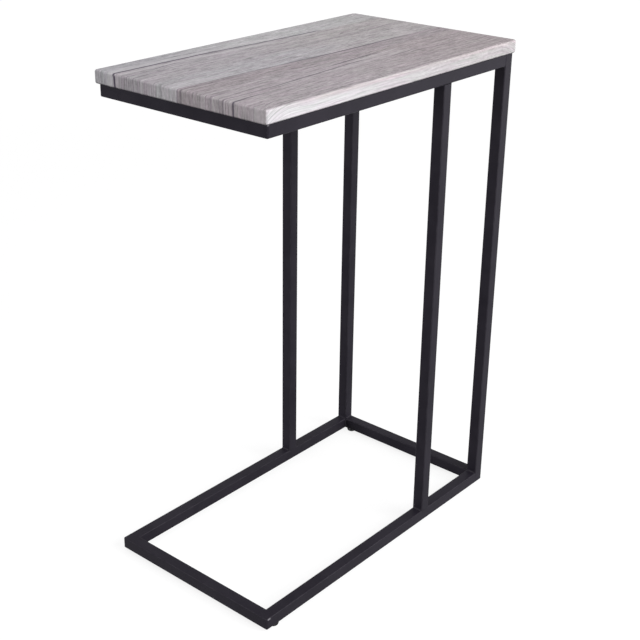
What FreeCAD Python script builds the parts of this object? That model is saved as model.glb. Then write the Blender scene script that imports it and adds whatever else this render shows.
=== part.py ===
import FreeCAD, Part
import os

# C-shaped side table: a welded frame of square steel tube, open at the front, that carries a
# foil-wrapped board and stands on four levelling feet.
# Millimetres. X runs from the open front to the uprights, Y from right to left and Z up.
# The origin is at floor level, in the middle of the table's outline.

# Tabletop board: a fibreboard core, grain foil pressed over its top and edges, a sheet below
board_length = 451.0
board_width = 256.0
core_thickness = 15.0
foil_thickness = 0.4
backing_thickness = 0.3
backing_clearance = 0.1
board_front_corner_radius = 3.0
board_back_corner_radius = 6.5
board_top_radius = 2.5
board_bottom_radius = 2.5
board_end_overhang = 4.5
board_side_overhang = 3.0

# Frame of square steel tube
tube_size = 15.0
tube_wall = 1.0
tube_outer_radius = 1.5
tube_inner_radius = 0.6
frame_height = 605.0
uprights_gap = 112.5
mitre_corner_radius = 2.0
weld_fill = 0.9
weld_leg = 2.0
weld_throat = 1.0

# Screws that hold the board down. Each goes in through a hole in a long top rail's lower wall,
# and its head seats inside the rail, on the upper wall
screw_shank_radius = 2.0
screw_head_radius = 4.0
screw_head_height = 2.6
screw_head_chamfer = 1.0
screw_bite = 10.0
screw_tip_room = 1.0
screw_hole_clearance = 0.3
screw_pilot_clearance = 0.05
screw_access_clearance = 0.8
front_screw_inset = 60.0

# Levelling feet: a plastic pad moulded on a stud that turns in a rivet nut. The nut's flange
# covers the flat of a rail's underside, and the pad stands out past the flange all round
pad_flare = 1.0
pad_taper = 1.0
pad_height = 3.5
pad_edge_chamfer = 1.0
stud_radius = 3.0
stud_embed = 2.3
stud_tip_chamfer = 0.6
stud_headroom = 1.5
thread_clearance = 0.05
nut_flange_thickness = 1.0
nut_body_radius = 4.4
nut_body_height = 9.0
nut_bulge_radius = 5.4
nut_bulge_height = 2.0
nut_hole_clearance = 0.1
front_foot_lap = 2.0
back_foot_gap = 0.2

# Plastic plugs that close the lower ends of the back posts
plug_head_thickness = 1.2
plug_head_chamfer = 1.0
plug_skirt_height = 9.0
plug_skirt_wall = 1.0
plug_clearance = 0.1

# Cutting tools run this far past the faces that they cut
past = 5.0

# Levels above the floor
frame_bottom = pad_height + nut_flange_thickness
base_rail_axis = frame_bottom + tube_size / 2
base_rail_top = frame_bottom + tube_size
board_bottom = frame_bottom + frame_height
top_rail_axis = board_bottom - tube_size / 2
top_rail_bottom = board_bottom - tube_size
core_bottom = board_bottom + backing_thickness
core_top = core_bottom + core_thickness
board_top = core_top + foil_thickness

# Places along X and Y: the base reaches as far forward as the board, the rest of the frame
# stands back from the board's edges by their overhangs
base_front = -board_length / 2
top_front = base_front + board_end_overhang
frame_back = board_length / 2 - board_end_overhang
frame_side = board_width / 2 - board_side_overhang
side_axis = frame_side - tube_size / 2
back_axis = frame_back - tube_size / 2
post_front = frame_back - tube_size
mid_axis = post_front - uprights_gap - tube_size / 2
mid_front = mid_axis - tube_size / 2
post_inner_side = frame_side - tube_size

# Radii of the feet
nut_flange_radius = tube_size / 2 - tube_outer_radius
pad_top_radius = nut_flange_radius + pad_flare
pad_bottom_radius = pad_top_radius - pad_taper

sides = {"left": 1, "right": -1}


def vec(x, y, z):
    """A point or direction."""
    return FreeCAD.Vector(x, y, z)


def rounded_rectangle(length, width, front_radius, back_radius):
    """A closed wire about the origin in the XY plane, with arcs at its front and back corners."""
    x = length / 2
    y = width / 2
    corners = [(x, y, 1, 1), (-x, y, -1, 1), (-x, -y, -1, -1), (x, -y, 1, -1)]
    edges = []
    previous_end = None
    first_start = None
    for corner_x, corner_y, sign_x, sign_y in corners:
        radius = back_radius if sign_x > 0 else front_radius
        bow = radius * (1 - 0.5 ** 0.5)
        along_x = vec(corner_x - sign_x * radius, corner_y, 0)
        along_y = vec(corner_x, corner_y - sign_y * radius, 0)
        middle = vec(corner_x - sign_x * bow, corner_y - sign_y * bow, 0)
        start, end = (along_y, along_x) if sign_x == sign_y else (along_x, along_y)
        if previous_end is None:
            first_start = start
        else:
            edges.append(Part.LineSegment(previous_end, start).toShape())
        edges.append(Part.Arc(start, middle, end).toShape())
        previous_end = end
    edges.append(Part.LineSegment(previous_end, first_start).toShape())
    return Part.Wire(edges)


def square_bar(side, radius, start, end):
    """A solid bar of rounded square section along the line from start to end."""
    along = end - start
    bar = Part.Face(rounded_rectangle(side, side, radius, radius)).extrude(vec(0, 0, along.Length))
    bar.Placement = FreeCAD.Placement(start, FreeCAD.Rotation(vec(0, 0, 1), along))
    return bar


def tube_outline(start, end):
    """The space that a length of the frame's tube fills, bore and all."""
    return square_bar(tube_size, tube_outer_radius, start, end)


def tube(start, end):
    """A length of the frame's square tube, open at both ends."""
    ahead = (end - start).normalize() * past
    bore = square_bar(tube_size - 2 * tube_wall, tube_inner_radius, start - ahead, end + ahead)
    return tube_outline(start, end).cut(bore)


def upright_hole(x, y, z, radius, height):
    """A round cutter along Z from the point (x, y, z) upwards."""
    return Part.makeCylinder(radius, height, vec(x, y, z))


def turned(profile, x, y):
    """A solid of revolution about the vertical line through (x, y).

    The profile is a closed list of edges in the XZ plane, on one side of the Z axis.
    """
    wire = Part.Wire(Part.__sortEdges__(profile))
    solid = Part.Face(wire).revolve(vec(0, 0, 0), vec(0, 0, 1), 360)
    solid.translate(vec(x, y, 0))
    return solid


def profile_edges(points):
    """Straight edges through (radius, height) points, closed back to the first one."""
    corners = [vec(radius, 0, height) for radius, height in points]
    corners.append(corners[0])
    return [Part.LineSegment(a, b).toShape() for a, b in zip(corners, corners[1:])]


# Frame


def mitre_waste(front, side, axis, keep_front):
    """The triangle beyond a front corner's mitre that one of its two rails loses.

    keep_front is true for the front rail's share of the corner.
    """
    sign = sides[side]
    outer = vec(front, sign * frame_side, axis - tube_size)
    inner = vec(front + tube_size, sign * post_inner_side, axis - tube_size)
    third_x, third_y = (inner.x, outer.y) if keep_front else (outer.x, inner.y)
    third = vec(third_x, third_y, outer.z)
    return Part.Face(Part.makePolygon([outer, inner, third, outer])).extrude(vec(0, 0, 2 * tube_size))


def eased_disc(x, y, axis):
    """A disc as high as the tube and as round as a ground corner, with rims eased as the tube's edges are."""
    low = axis - tube_size / 2
    high = axis + tube_size / 2
    flat = mitre_corner_radius - tube_outer_radius
    bow = tube_outer_radius * (1 - 0.5 ** 0.5)
    lower_rim = Part.Arc(vec(flat, 0, low), vec(mitre_corner_radius - bow, 0, low + bow),
                         vec(mitre_corner_radius, 0, low + tube_outer_radius))
    upper_rim = Part.Arc(vec(mitre_corner_radius, 0, high - tube_outer_radius),
                         vec(mitre_corner_radius - bow, 0, high - bow), vec(flat, 0, high))
    straight = [(vec(flat, 0, high), vec(0, 0, high)), (vec(0, 0, high), vec(0, 0, low)),
                (vec(0, 0, low), vec(flat, 0, low)),
                (lower_rim.EndPoint, upper_rim.StartPoint)]
    edges = [Part.LineSegment(start, end).toShape() for start, end in straight]
    return turned(edges + [lower_rim.toShape(), upper_rim.toShape()], x, y)


def corner_rounding(front, side, axis):
    """What grinding takes off the outer edge of a front corner."""
    sign = sides[side]
    low = axis - tube_size
    outer_y = sign * frame_side
    centre_x = front + mitre_corner_radius
    centre_y = outer_y - sign * mitre_corner_radius
    block = Part.makeBox(mitre_corner_radius, mitre_corner_radius, 2 * tube_size)
    block.translate(vec(front, min(outer_y, centre_y), low))
    return block.cut(eased_disc(centre_x, centre_y, axis))


def front_rail(front, axis):
    """A rail across the open front, mitred at both ends."""
    x = front + tube_size / 2
    rail = tube(vec(x, -frame_side, axis), vec(x, frame_side, axis))
    for side in sides:
        rail = rail.cut(mitre_waste(front, side, axis, True))
        rail = rail.cut(corner_rounding(front, side, axis))
    return rail


def side_rail(front, side, axis, fill):
    """A long rail, mitred at the front, that meets the back post's front face.

    fill is how far its ground weld runs on round the post's rounded edges.
    """
    y = sides[side] * side_axis
    rail = tube(vec(front, y, axis), vec(post_front + fill, y, axis))
    rail = rail.cut(mitre_waste(front, side, axis, False))
    rail = rail.cut(corner_rounding(front, side, axis))
    return rail.cut(post_outline(side))


def back_rail(axis, fill):
    """The rail between the two back posts, with welds as on a side rail."""
    reach = post_inner_side + fill
    rail = tube(vec(back_axis, -reach, axis), vec(back_axis, reach, axis))
    for side, sign in sides.items():
        y = sign * side_axis
        rail = rail.cut(post_outline(side))
        rail = rail.cut(tube_outline(vec(mid_axis, y, axis), vec(post_front + fill, y, axis)))
    return rail


def post_outline(side):
    """The space that a back post fills, with its plug."""
    y = sides[side] * side_axis
    return tube_outline(vec(back_axis, y, frame_bottom), vec(back_axis, y, board_bottom))


def back_post(side):
    """A corner post from its plug to the board."""
    y = sides[side] * side_axis
    low = frame_bottom + plug_head_thickness
    return tube(vec(back_axis, y, low), vec(back_axis, y, board_bottom))


def mid_upright(side):
    """An upright that stands on a base rail, welded and ground flush, under a top rail."""
    y = sides[side] * side_axis
    post = tube(vec(mid_axis, y, base_rail_top - weld_fill), vec(mid_axis, y, top_rail_bottom))
    rail = tube_outline(vec(base_front, y, base_rail_axis), vec(frame_back, y, base_rail_axis))
    return post.cut(rail)


def post_plug(side):
    """A plug whose eased head closes a post's lower end and whose skirt grips its bore."""
    y = sides[side] * side_axis
    skirt_low = frame_bottom + plug_head_thickness
    skirt_side = tube_size - 2 * tube_wall - 2 * plug_clearance
    skirt_top = vec(back_axis, y, skirt_low + plug_skirt_height)
    head = tube_outline(vec(back_axis, y, frame_bottom), vec(back_axis, y, skirt_low))
    head = head.makeChamfer(plug_head_chamfer, edges_at(head, frame_bottom))
    skirt = square_bar(skirt_side, tube_inner_radius, vec(back_axis, y, skirt_low), skirt_top)
    hollow_side = skirt_side - 2 * plug_skirt_wall
    hollow = square_bar(hollow_side, tube_inner_radius, vec(back_axis, y, skirt_low), skirt_top)
    return head.fuse(skirt.cut(hollow)).removeSplitter()


def weld_bead(corner, leg_a, leg_b, along):
    """A hollow-faced weld in an inner corner, as long as the flat of the tube.

    leg_a and leg_b point from the corner over the two faces, and along is the corner's own line.
    """
    half = along * (tube_size / 2 - tube_outer_radius)
    start = corner - half
    end_a = start + leg_a * weld_leg
    end_b = start + leg_b * weld_leg
    middle = start + (leg_a + leg_b).normalize() * weld_throat
    outline = Part.Wire([
        Part.LineSegment(start, end_a).toShape(),
        Part.Arc(end_a, middle, end_b).toShape(),
        Part.LineSegment(end_b, start).toShape(),
    ])
    return Part.Face(outline).extrude(half * 2)


def frame_welds():
    """The beads left in the frame's inner corners: its other welds are ground flush."""
    forward = vec(-1, 0, 0)
    backward = vec(1, 0, 0)
    up = vec(0, 0, 1)
    down = vec(0, 0, -1)
    beads = []
    for sign in sides.values():
        y = sign * side_axis
        inner_y = sign * post_inner_side
        inward = vec(0, -sign, 0)
        for level, away in ((base_rail_top, up), (top_rail_bottom, down)):
            beads.append(weld_bead(vec(mid_front, y, level), forward, away, inward))
            beads.append(weld_bead(vec(mid_front + tube_size, y, level), backward, away, inward))
            beads.append(weld_bead(vec(post_front, y, level), forward, away, inward))
            beads.append(weld_bead(vec(back_axis, inner_y, level), inward, away, backward))
        for front, axis in ((base_front, base_rail_axis), (top_front, top_rail_axis)):
            beads.append(weld_bead(vec(front + tube_size, inner_y, axis), backward, inward, up))
            beads.append(weld_bead(vec(post_front, inner_y, axis), forward, inward, up))
    return Part.makeCompound(beads)


# Tabletop


def rounded_board(inset, low, high, bottom_radius, top_radius):
    """A board with rounded corners and eased edges, inset from the table's outline."""
    outline = rounded_rectangle(board_length - 2 * inset, board_width - 2 * inset,
                                board_front_corner_radius - inset, board_back_corner_radius - inset)
    board = Part.Face(outline).extrude(vec(0, 0, high - low))
    board.translate(vec(0, 0, low))
    board = board.makeFillet(top_radius, edges_at(board, high))
    return board.makeFillet(bottom_radius, edges_at(board, low))


def edges_at(shape, height):
    """The edges of a shape that lie level at a height."""
    flat = 1e-6
    return [e for e in shape.Edges
            if abs(e.BoundBox.ZMin - height) < flat and abs(e.BoundBox.ZMax - height) < flat]


def backing_sheet(clearance):
    """The sheet under the core, inside the foil's lower edge."""
    inset = board_bottom_radius + clearance
    outline = rounded_rectangle(board_length - 2 * inset, board_width - 2 * inset,
                                board_front_corner_radius - board_bottom_radius,
                                board_back_corner_radius - board_bottom_radius)
    sheet = Part.Face(outline).extrude(vec(0, 0, backing_thickness))
    sheet.translate(vec(0, 0, board_bottom))
    return sheet


def core():
    """The fibreboard core, before its screw holes."""
    return rounded_board(foil_thickness, core_bottom, core_top,
                         board_bottom_radius - foil_thickness, board_top_radius - foil_thickness)


def foil():
    """The grain foil, one skin over the board's top, edges and lower arris."""
    board = rounded_board(0, board_bottom, board_top, board_bottom_radius, board_top_radius)
    return board.cut(core()).cut(backing_sheet(0))


# Screws


def screw_places():
    """Three screws in each long rail, clear of the uprights."""
    front = top_front + front_screw_inset
    middle = (front + mid_front) / 2
    back = post_front - uprights_gap / 2
    return [(x, sign * side_axis) for sign in sides.values() for x in (front, middle, back)]


def screw(x, y):
    """A pan-head screw with its head under the rail's upper wall and its point in the core."""
    seat = board_bottom - tube_wall
    head_low = seat - screw_head_height
    tip = core_bottom + screw_bite
    outline = [(0, head_low), (screw_head_radius - screw_head_chamfer, head_low),
               (screw_head_radius, head_low + screw_head_chamfer), (screw_head_radius, seat),
               (screw_shank_radius, seat), (screw_shank_radius, tip - screw_shank_radius), (0, tip)]
    return turned(profile_edges(outline), x, y)


def with_screw_holes(shape, radius, low, high):
    """The shape with a hole at each screw that falls within it."""
    for x, y in screw_places():
        shape = shape.cut(upright_hole(x, y, low, radius, high - low))
    return shape


# Feet


def foot_places():
    """Each foot's name and place.

    The front pair is under the long rails, with flanges that lap under the front rail. The back
    pair is under the back rail, with flanges that stop short of the posts.
    """
    front_x = base_front + tube_size - front_foot_lap + nut_flange_radius
    back_y = post_inner_side - back_foot_gap - nut_flange_radius
    places = {}
    for side, sign in sides.items():
        places["front_" + side] = (front_x, sign * side_axis)
        places["back_" + side] = (back_axis, sign * back_y)
    return places


def foot_pad(x, y):
    """The tapered pad that stands on the floor, with the socket that holds its stud."""
    outline = [(0, 0), (pad_bottom_radius - pad_edge_chamfer, 0), (pad_bottom_radius, pad_edge_chamfer),
               (pad_top_radius, pad_height), (0, pad_height)]
    pad = turned(profile_edges(outline), x, y)
    return pad.cut(upright_hole(x, y, pad_height - stud_embed, stud_radius, stud_embed + past))


def foot_stud(x, y):
    """The stud, from the pad's socket to just under the rail's upper wall."""
    low = pad_height - stud_embed
    high = base_rail_top - tube_wall - stud_headroom
    tip_radius = stud_radius - stud_tip_chamfer
    outline = [(0, low), (stud_radius, low), (stud_radius, high - stud_tip_chamfer), (tip_radius, high),
               (0, high)]
    return turned(profile_edges(outline), x, y)


def foot_nut(x, y):
    """A rivet nut: flange below the rail's wall, bulge and threaded body above it."""
    flange_low = frame_bottom - nut_flange_thickness
    wall_top = frame_bottom + tube_wall
    body_top = wall_top + nut_body_height
    bore = stud_radius + thread_clearance
    bulge_top = wall_top + nut_bulge_height
    outline = [(bore, flange_low), (nut_flange_radius, flange_low), (nut_flange_radius, frame_bottom),
               (nut_body_radius, frame_bottom), (nut_body_radius, wall_top), (nut_bulge_radius, wall_top),
               (nut_body_radius, bulge_top), (nut_body_radius, body_top), (bore, body_top)]
    return turned(profile_edges(outline), x, y)


def with_foot_holes(rail, names):
    """A base rail with the rivet nuts' holes in its lower wall."""
    radius = nut_body_radius + nut_hole_clearance
    for name in names:
        x, y = foot_places()[name]
        rail = rail.cut(upright_hole(x, y, frame_bottom - past, radius, past + tube_size / 2))
    return rail


# Assembly


def build():
    """All nodes of the table, by name. Identical fasteners share a node as separate solids."""
    base_back_rail = back_rail(base_rail_axis, weld_fill)
    nodes = {
        "base_front_rail": front_rail(base_front, base_rail_axis),
        "base_back_rail": with_foot_holes(base_back_rail, ["back_left", "back_right"]),
        "top_front_rail": front_rail(top_front, top_rail_axis),
        "top_back_rail": back_rail(top_rail_axis, 0),
        "frame_welds": frame_welds(),
    }
    shank_hole = screw_shank_radius + screw_hole_clearance
    access_hole = screw_head_radius + screw_access_clearance
    for side in sides:
        base_rail = side_rail(base_front, side, base_rail_axis, weld_fill)
        top_rail = side_rail(top_front, side, top_rail_axis, 0)
        nodes["base_" + side + "_rail"] = with_foot_holes(base_rail, ["front_" + side])
        top_rail = with_screw_holes(top_rail, shank_hole, top_rail_axis, board_bottom + past)
        top_rail = with_screw_holes(top_rail, access_hole, top_rail_bottom - past, top_rail_axis)
        nodes["top_" + side + "_rail"] = top_rail
        nodes["back_" + side + "_post"] = back_post(side)
        nodes["mid_" + side + "_upright"] = mid_upright(side)
    pilot = screw_shank_radius + screw_pilot_clearance
    hole_top = core_bottom + screw_bite + screw_tip_room
    nodes["tabletop_core"] = with_screw_holes(core(), pilot, core_bottom - past, hole_top)
    nodes["tabletop_foil"] = foil()
    nodes["tabletop_backing"] = with_screw_holes(
        backing_sheet(backing_clearance), shank_hole, board_bottom - past, core_bottom + past)
    nodes["tabletop_screws"] = Part.makeCompound([screw(x, y) for x, y in screw_places()])
    nodes["post_plugs"] = Part.makeCompound([post_plug(side) for side in sides])
    nodes["foot_nuts"] = Part.makeCompound([foot_nut(x, y) for x, y in foot_places().values()])
    for name, (x, y) in foot_places().items():
        nodes[name + "_foot"] = foot_pad(x, y)
        nodes[name + "_stud"] = foot_stud(x, y)
    return nodes


os.makedirs("parts", exist_ok=True)
for name, shape in build().items():
    print(name, "solids:", len(shape.Solids), "volume:", round(shape.Volume, 1), "valid:", shape.isValid())
    shape.exportStep("parts/" + name + ".step")
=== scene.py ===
"""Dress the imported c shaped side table: black powder-coated tube, grey grain foil, levelling feet."""
import logging
import math
from dataclasses import dataclass, field
from enum import Enum
from functools import partial, reduce
from typing import Callable, Dict, List, Sequence, Tuple, Union

import bmesh
import bpy
from mathutils import Matrix, Vector


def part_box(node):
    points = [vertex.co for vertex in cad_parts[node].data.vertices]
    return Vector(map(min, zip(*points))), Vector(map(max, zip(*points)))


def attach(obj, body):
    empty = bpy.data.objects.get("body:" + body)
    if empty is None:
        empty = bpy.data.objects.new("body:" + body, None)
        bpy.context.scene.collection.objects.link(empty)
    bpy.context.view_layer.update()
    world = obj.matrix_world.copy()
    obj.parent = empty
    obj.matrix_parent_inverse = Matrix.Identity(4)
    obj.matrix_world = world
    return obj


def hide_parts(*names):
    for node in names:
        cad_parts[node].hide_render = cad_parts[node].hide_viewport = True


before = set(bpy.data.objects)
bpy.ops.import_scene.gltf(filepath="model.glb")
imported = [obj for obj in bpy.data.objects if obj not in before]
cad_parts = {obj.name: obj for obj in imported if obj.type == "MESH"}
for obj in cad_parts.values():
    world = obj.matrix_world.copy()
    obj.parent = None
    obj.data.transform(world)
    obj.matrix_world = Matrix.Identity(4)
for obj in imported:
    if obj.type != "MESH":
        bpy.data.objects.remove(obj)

LOG = logging.getLogger("side_table")

Socket = bpy.types.NodeSocket
Material = bpy.types.Material
Piece = bpy.types.Object
Element = Union[bmesh.types.BMVert, bmesh.types.BMEdge, bmesh.types.BMFace]
Colour = Tuple[float, float, float]
Point = Tuple[float, float, float]
Place = Tuple[float, float]
Value = Union[float, Tuple[float, ...], Socket]
Tint = Union[Colour, Socket]

# Points closer than this are one point, and levels closer than this are one level.
LEVEL_SLACK = 0.00001
# A point closer than this to a cutting plane lies on it.
CUT_SLACK = 0.0000001
# Least upright part of the normal of a face that looks up or down.
LEVEL_NORMAL = 0.99
# Edges turned by less than this, in radians, are shaded smooth.
SMOOTH_ANGLE = 0.6
# The middle of noise that goes from 0 to 1.
NOISE_MIDDLE = 0.5
# A run from 0 to 1 times what is left of it peaks at a quarter, so this makes the peak 1.
BOW_SCALE = 4.0
WHITE = (1.0, 1.0, 1.0)


class Slot(Enum):
    """Material slots of the record, by name."""

    ZINC = "zinc_steel"
    PLASTIC = "black_plastic"


class Corner(Enum):
    """Corners of the base that carry a levelling foot."""

    FRONT_LEFT = "front_left"
    BACK_LEFT = "back_left"
    FRONT_RIGHT = "front_right"
    BACK_RIGHT = "back_right"


class Pick(Enum):
    """What is selected in edit mode, by Blender's names."""

    POINTS = "VERT"
    EDGES = "EDGE"
    FACES = "FACE"


@dataclass(frozen=True)
class Ramp:
    """A range from low to high, carried over to another one and held at both ends.

    Attributes:
        smooth: Ease in and out, and not in a straight line.
    """

    low: float
    high: float
    to_low: float = 0.0
    to_high: float = 1.0
    smooth: bool = True


@dataclass(frozen=True)
class Noise:
    """A layer of noise.

    Attributes:
        stretch: Cells to the metre along each axis.
        detail: Finer layers.
        roughness: How much the finer layers count.
        shift: How far along the third axis it is read, for noise of its own.
        swing: How far it swings what it changes each way.
    """

    stretch: Point
    detail: float = 2.0
    roughness: float = 0.5
    shift: float = 0.0
    swing: float = 0.0


class Graph:
    """The node tree of a material or of the world, built through short calls."""

    def __init__(self, owner: Union[Material, bpy.types.World]) -> None:
        """Start with an empty tree.

        Args:
            owner: What the tree belongs to.
        """
        owner.use_nodes = True
        self.owner = owner
        self.tree = owner.node_tree
        self.tree.nodes.clear()

    def feed(self, socket: Socket, value: Value) -> None:
        """Link a socket to another one, or set its own value.

        Args:
            socket: What is fed.
            value: Another socket, or a plain value.
        """
        if isinstance(value, Socket):
            self.tree.links.new(value, socket)
        else:
            socket.default_value = value

    def node(self, kind: str, *values: Value, **named: Value) -> bpy.types.Node:
        """Add a node and feed some of its inputs.

        Args:
            kind: Blender's name for its kind.
            values: What its first inputs get, in turn.
            named: What other inputs get, by name with _ for a blank.

        Returns:
            The node.
        """
        node = self.tree.nodes.new(kind)
        for socket, value in zip(node.inputs, values):
            self.feed(socket, value)
        for name, value in named.items():
            self.feed(node.inputs[name.replace("_", " ")], value)
        return node

    def place(self) -> Socket:
        """The point's place in the row frame, in metres."""
        return self.node("ShaderNodeTexCoord").outputs["Object"]

    def split(self, vector: Socket) -> List[Socket]:
        """A vector's three parts."""
        return list(self.node("ShaderNodeSeparateXYZ", vector).outputs)

    def join(self, x: Value, y: Value, z: Value) -> Socket:
        """A vector from three parts."""
        return self.node("ShaderNodeCombineXYZ", x, y, z).outputs[0]

    def math(self, operation: str, first: Value, second: Value = 0.0) -> Socket:
        """One step of arithmetic.

        Args:
            operation: Blender's name for it.
            first: Its first value.
            second: Its second value, where it takes one.

        Returns:
            The result's socket.
        """
        node = self.node("ShaderNodeMath", first, second)
        node.operation = operation
        return node.outputs[0]

    def times(self, *values: Value) -> Socket:
        """The product of several values."""
        return reduce(partial(self.math, "MULTIPLY"), values)

    def total(self, *values: Value) -> Socket:
        """The sum of several values."""
        return reduce(partial(self.math, "ADD"), values)

    def greatest(self, values: Sequence[Socket]) -> Socket:
        """The greatest of several values."""
        return reduce(partial(self.math, "MAXIMUM"), values)

    def less(self, first: Value, second: Value) -> Socket:
        """The first value less the second."""
        return self.math("SUBTRACT", first, second)

    def ramp(self, value: Value, ramp: Ramp) -> Socket:
        """Carry a value over by a ramp.

        Args:
            value: What is carried over.
            ramp: The ramp.

        Returns:
            The result's socket.
        """
        node = self.node("ShaderNodeMapRange", value, ramp.low, ramp.high, ramp.to_low, ramp.to_high)
        node.interpolation_type = "SMOOTHSTEP" if ramp.smooth else "LINEAR"
        return node.outputs[0]

    def noise(self, vector: Socket, layer: Noise) -> Socket:
        """A layer of noise from 0 to 1, read at a vector."""
        spot = self.node("ShaderNodeMapping", vector, Location=(0.0, 0.0, layer.shift), Scale=layer.stretch)
        return self.node("ShaderNodeTexNoise", spot.outputs[0], Scale=1.0, Detail=layer.detail,
                         Roughness=layer.roughness).outputs[0]

    def swing(self, noise: Socket, amount: float) -> Socket:
        """Noise turned to a swing about nought, of that amount each way."""
        return self.times(self.less(noise, NOISE_MIDDLE), amount / NOISE_MIDDLE)

    def wave(self, vector: Socket, layer: Noise) -> Socket:
        """A layer of noise as a swing about nought."""
        return self.swing(self.noise(vector, layer), layer.swing)

    def blend(self, share: Value, first: Tint, second: Tint, mode: str = "MIX") -> Socket:
        """Two colours mixed.

        Args:
            share: Share of the second one.
            first: Colour at 0.
            second: Colour at 1.
            mode: Blender's name for the way they mix.

        Returns:
            The colour's socket.
        """
        node = self.node("ShaderNodeMix", share)
        node.data_type = "RGBA"
        node.blend_type = mode
        sockets = [socket for socket in node.inputs if socket.type == "RGBA"]
        for socket, colour in zip(sockets, (first, second)):
            self.feed(socket, (*colour, 1.0) if isinstance(colour, tuple) else colour)
        return next(socket for socket in node.outputs if socket.type == "RGBA")

    def arris(self, turn: Ramp) -> Socket:
        """1 on the rounded edges of a square section and 0 on its flats.

        Args:
            turn: The normal's turn from where an edge starts to where it counts in full.

        Returns:
            The share's socket.
        """
        normal = self.node("ShaderNodeTexCoord").outputs["Normal"]
        parts = [self.math("ABSOLUTE", part) for part in self.split(normal)]
        return self.ramp(self.less(1.0, self.greatest(parts)), turn)

    def bump(self, height: Socket, distance: float) -> Socket:
        """A normal tilted by a height, whose full swing stands for a distance in metres."""
        return self.node("ShaderNodeBump", Distance=distance, Height=height).outputs[0]

    def coat(self, base: Socket, roughness: Value, normal: Socket, specular: float = 0.5,
             metallic: float = 0.0) -> Material:
        """Close a material's tree with one surface.

        Args:
            base: Its colour.
            roughness: Its roughness.
            normal: Its normal.
            specular: How much it mirrors, 0.5 for most plastics.
            metallic: 1 for bare metal.

        Returns:
            The finished material.
        """
        shader = self.node("ShaderNodeBsdfPrincipled", Base_Color=base, Roughness=roughness, Normal=normal,
                           Specular_IOR_Level=specular, Metallic=metallic)
        self.node("ShaderNodeOutputMaterial", Surface=shader.outputs[0])
        return self.owner


@dataclass(frozen=True)
class PowderCoat:
    """Matt black powder coat on the tube; its edges are paler, partly scuffed and partly a painted
    highlight, and its ground corners carry painted glints.

    Attributes:
        glint_corners: The open ends' upper corners, given for one side, where glints are painted.
        glint_reach: How far from such a corner the painted glint goes along each axis.
        glint_share: The painted glint by the squared distance from a corner, as a share of its reach.
    """

    colour: Colour = (0.0163, 0.0142, 0.0206)
    cloudy: Colour = (0.0212, 0.0187, 0.0260)
    # Paler colour of the edges: partly scuffed coat, partly a painted highlight along the arrises.
    rubbed_and_highlit: Colour = (0.0460, 0.0425, 0.0497)
    # Painted glint: a pale spot on each ground front corner, for the light glancing off it.
    painted_glint: Colour = (0.2400, 0.2300, 0.2500)
    glint_corners: Tuple[Point, ...] = ((-0.2212, 0.1248, 0.0182), (-0.2212, 0.1250, 0.6085))
    glint_reach: Point = (0.0034, 0.0014, 0.0014)
    glint_share: Ramp = Ramp(0.0, 1.0, 1.0, 0.0)
    cloud: Noise = Noise((30.0, 30.0, 30.0), 3.0, swing=0.10)
    cloud_share: Ramp = Ramp(0.35, 0.65)
    peel: Noise = Noise((900.0, 900.0, 900.0), swing=0.05)
    peel_height: float = 0.00003
    rub_and_highlight: Noise = Noise((70.0, 70.0, 70.0), 4.0, 0.6)
    rub_and_highlight_share: Ramp = Ramp(0.35, 0.65, 0.3, 1.0)
    edge_turn: Ramp = Ramp(0.03, 0.22)
    edge_share: float = 0.7
    roughness: float = 0.45
    specular: float = 0.05

    def glint_spots(self, graph: Graph, place: Socket) -> Socket:
        """How far a point lies in a painted glint on a ground corner.

        Args:
            graph: The tree that it is built in.
            place: The point's place.

        Returns:
            The share of the painted glint colour.
        """
        x, y, z = graph.split(place)
        sides = (x, graph.math("ABSOLUTE", y), z)
        shares = []
        for corner in self.glint_corners:
            squares = []
            for side, middle, reach in zip(sides, corner, self.glint_reach):
                offset = graph.times(graph.less(side, middle), 1.0 / reach)
                squares.append(graph.times(offset, offset))
            shares.append(graph.ramp(graph.total(*squares), self.glint_share))
        return graph.greatest(shares)

    def material(self) -> Material:
        """Fine peel, cloudy changes of tone and gloss, edges partly scuffed and partly a painted highlight,
        and painted glints on the ground corners.

        Returns:
            The finished material.
        """
        graph = Graph(bpy.data.materials.new("powder_coat"))
        place = graph.place()
        cloud = graph.noise(place, self.cloud)
        peel = graph.noise(place, self.peel)
        rub_and_highlight = graph.ramp(graph.noise(place, self.rub_and_highlight), self.rub_and_highlight_share)
        # Paler edges, partly scuffed coat and partly a painted highlight along the rounded arrises.
        edge = graph.times(graph.arris(self.edge_turn), rub_and_highlight, self.edge_share)
        base = graph.blend(graph.ramp(cloud, self.cloud_share), self.colour, self.cloudy)
        base = graph.blend(edge, base, self.rubbed_and_highlit)
        # Painted glints on the ground front corners.
        base = graph.blend(self.glint_spots(graph, place), base, self.painted_glint)
        gloss = graph.total(self.roughness, graph.swing(cloud, self.cloud.swing),
                            graph.swing(peel, self.peel.swing))
        return graph.coat(base, gloss, graph.bump(peel, self.peel_height), self.specular)


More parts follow.
